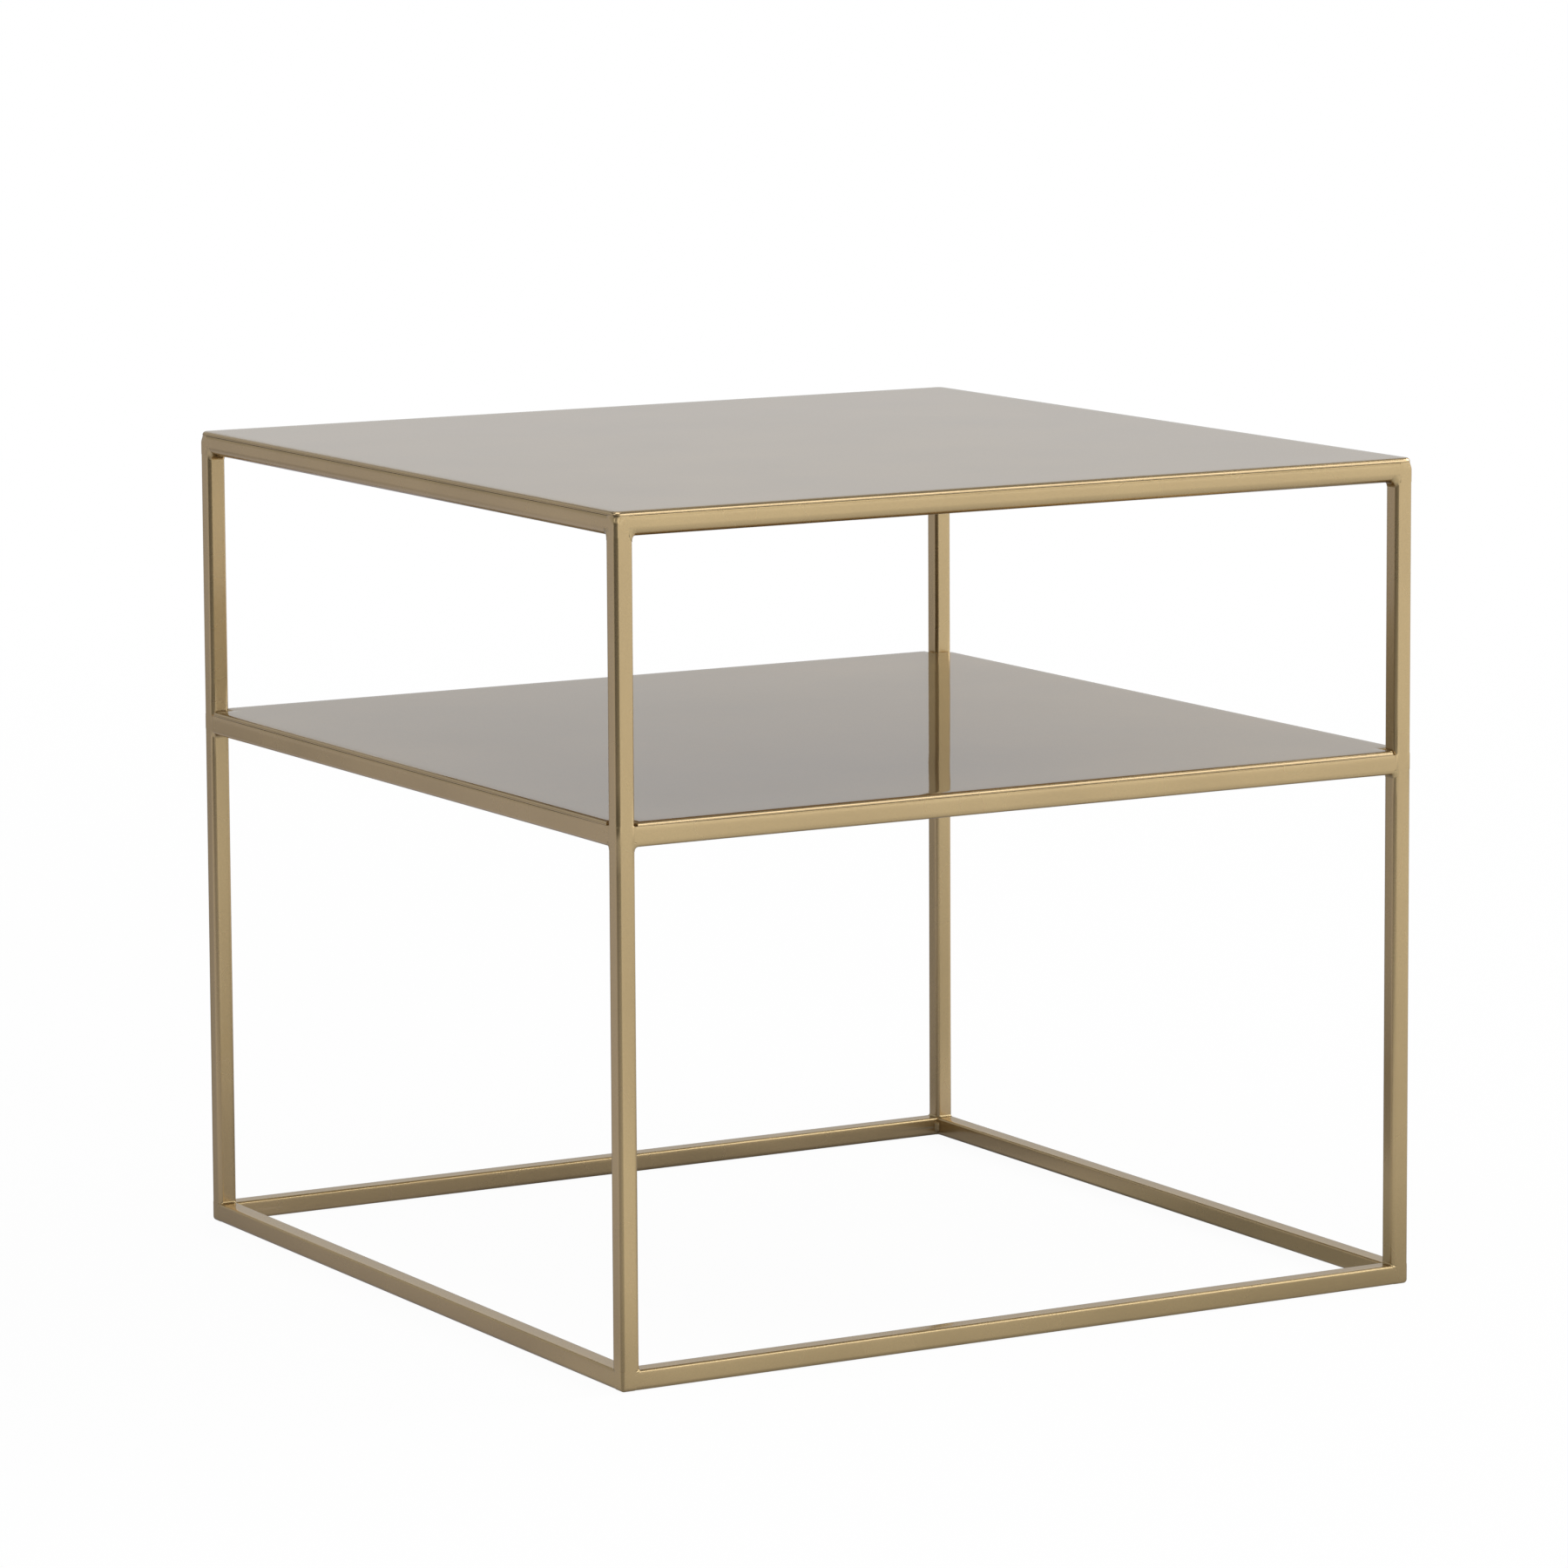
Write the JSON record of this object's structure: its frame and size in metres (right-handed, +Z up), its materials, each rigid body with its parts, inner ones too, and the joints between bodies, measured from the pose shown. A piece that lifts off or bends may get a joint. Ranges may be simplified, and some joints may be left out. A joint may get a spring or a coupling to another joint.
{
  "type": "coffee table",
  "caption": "Square two-tier table: a welded open frame of thin square tube, with a flat metal sheet as its top, a second sheet as a shelf, and an open ring on the floor.",
  "frame": {"origin": "on the floor under the middle of the table", "axes": "+Z up, +X to the right along the front, +Y from the front to the back"},
  "size_m": [0.45, 0.45, 0.417],
  "materials": {
    "tube_paint": "satin metallic gold paint",
    "sheet_paint": "high-gloss metallic gold paint",
    "weld_paint": "satin metallic gold paint over weld beads"
  },
  "bodies": {
    "root": {"leg_front_left": "tube_paint", "leg_front_right": "tube_paint", "leg_back_left": "tube_paint", "leg_back_right": "tube_paint", "floor_rail_front": "tube_paint", "floor_rail_back": "tube_paint", "floor_rail_left": "tube_paint", "floor_rail_right": "tube_paint", "shelf_rail_front": "tube_paint", "shelf_rail_back": "tube_paint", "shelf_rail_left": "tube_paint", "shelf_rail_right": "tube_paint", "top_rail_front": "tube_paint", "top_rail_back": "tube_paint", "top_rail_left": "tube_paint", "top_rail_right": "tube_paint", "shelf_sheet": "sheet_paint", "top_sheet": "sheet_paint", "floor_corner_welds": "weld_paint", "shelf_corner_welds": "weld_paint", "top_corner_welds": "weld_paint", "shelf_sheet_tacks": "weld_paint", "top_sheet_tacks": "weld_paint"}
  },
  "joints": []
}
